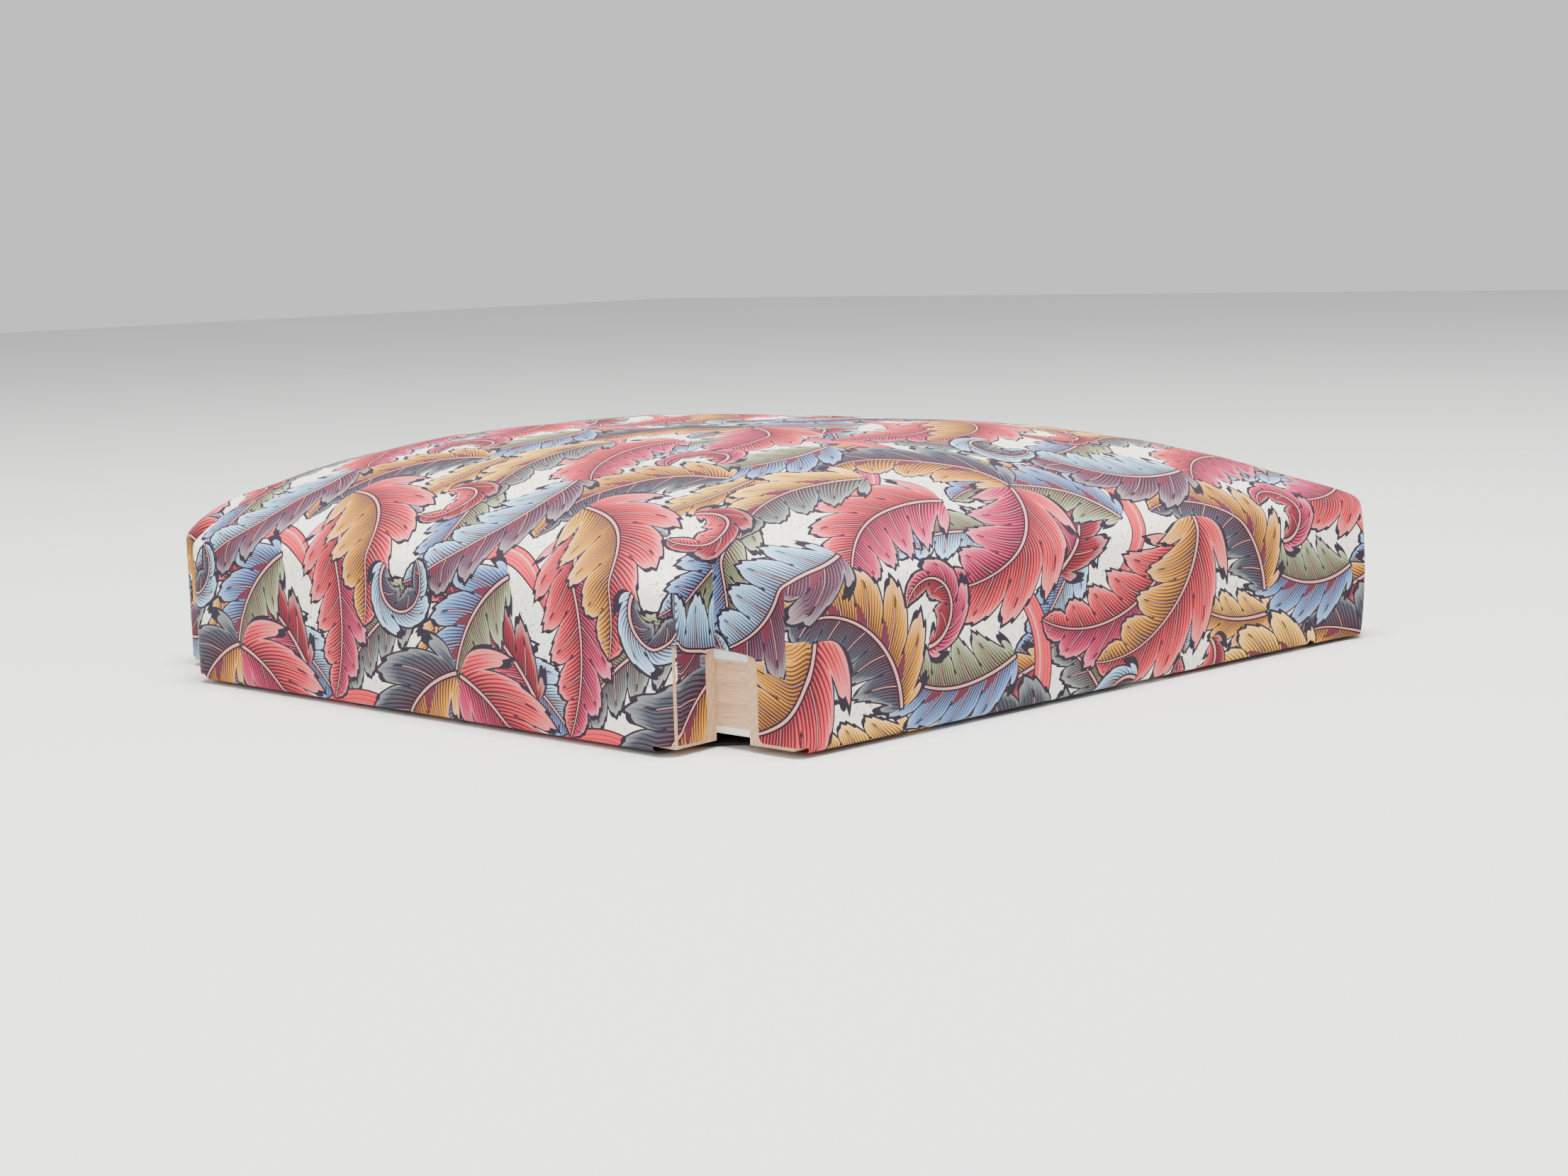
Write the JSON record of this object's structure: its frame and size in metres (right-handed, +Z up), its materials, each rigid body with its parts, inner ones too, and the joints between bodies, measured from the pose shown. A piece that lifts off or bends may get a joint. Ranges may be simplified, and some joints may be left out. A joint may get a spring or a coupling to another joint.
{
  "type": "chair seat pad",
  "caption": "Domed stuff-over chair seat with straight sides in printed cotton, wider at the front, notched round the back legs, with a webbed rail frame inside.",
  "frame": {"origin": "middle of the underside: the centre of the seat's bounding box in plan, on the plane that it lies on", "axes": "+Z up, -Y towards the front of the seat, +X towards the sitter's left"},
  "size_m": [0.492, 0.424, 0.115],
  "materials": {
    "printed_cotton": "printed cotton, plain weave, matt",
    "wadding": "cotton wadding",
    "calico": "unbleached calico",
    "horsehair": "curled hair",
    "hessian": "open jute weave",
    "fibre": "coir fibre",
    "webbing": "woven jute and flax webbing",
    "black_cotton": "black cotton",
    "beech": "planed, unfinished",
    "steel": "bright",
    "blued_steel": "blued"
  },
  "bodies": {
    "root": {"back_left_corner_block": "beech", "back_left_corner_screw_1": "steel", "back_left_corner_screw_2": "steel", "back_rail": "beech", "back_right_corner_block": "beech", "back_right_corner_screw_1": "steel", "back_right_corner_screw_2": "steel", "calico_undercover": "calico", "dust_cover": "black_cotton", "dust_cover_tack_back_1": "blued_steel", "dust_cover_tack_back_2": "blued_steel", "dust_cover_tack_back_3": "blued_steel", "dust_cover_tack_back_4": "blued_steel", "dust_cover_tack_front_1": "blued_steel", "dust_cover_tack_front_2": "blued_steel", "dust_cover_tack_front_3": "blued_steel", "dust_cover_tack_front_4": "blued_steel", "dust_cover_tack_left_1": "blued_steel", "dust_cover_tack_left_2": "blued_steel", "dust_cover_tack_left_3": "blued_steel", "dust_cover_tack_left_4": "blued_steel", "dust_cover_tack_right_1": "blued_steel", "dust_cover_tack_right_2": "blued_steel", "dust_cover_tack_right_3": "blued_steel", "dust_cover_tack_right_4": "blued_steel", "first_stuffing": "fibre", "front_left_corner_block": "beech", "front_left_corner_screw_1": "steel", "front_left_corner_screw_2": "steel", "front_rail": "beech", "front_right_corner_block": "beech", "front_right_corner_screw_1": "steel", "front_right_corner_screw_2": "steel", "hessian_base": "hessian", "left_side_rail": "beech", "right_side_rail": "beech", "second_stuffing": "horsehair", "stuffing_scrim": "hessian", "top_cover": "printed_cotton", "wadding": "wadding", "webbing_crossways_1": "webbing", "webbing_crossways_2": "webbing", "webbing_crossways_3": "webbing", "webbing_lengthways_1": "webbing", "webbing_lengthways_2": "webbing", "webbing_lengthways_3": "webbing", "webbing_lengthways_4": "webbing"}
  },
  "joints": []
}
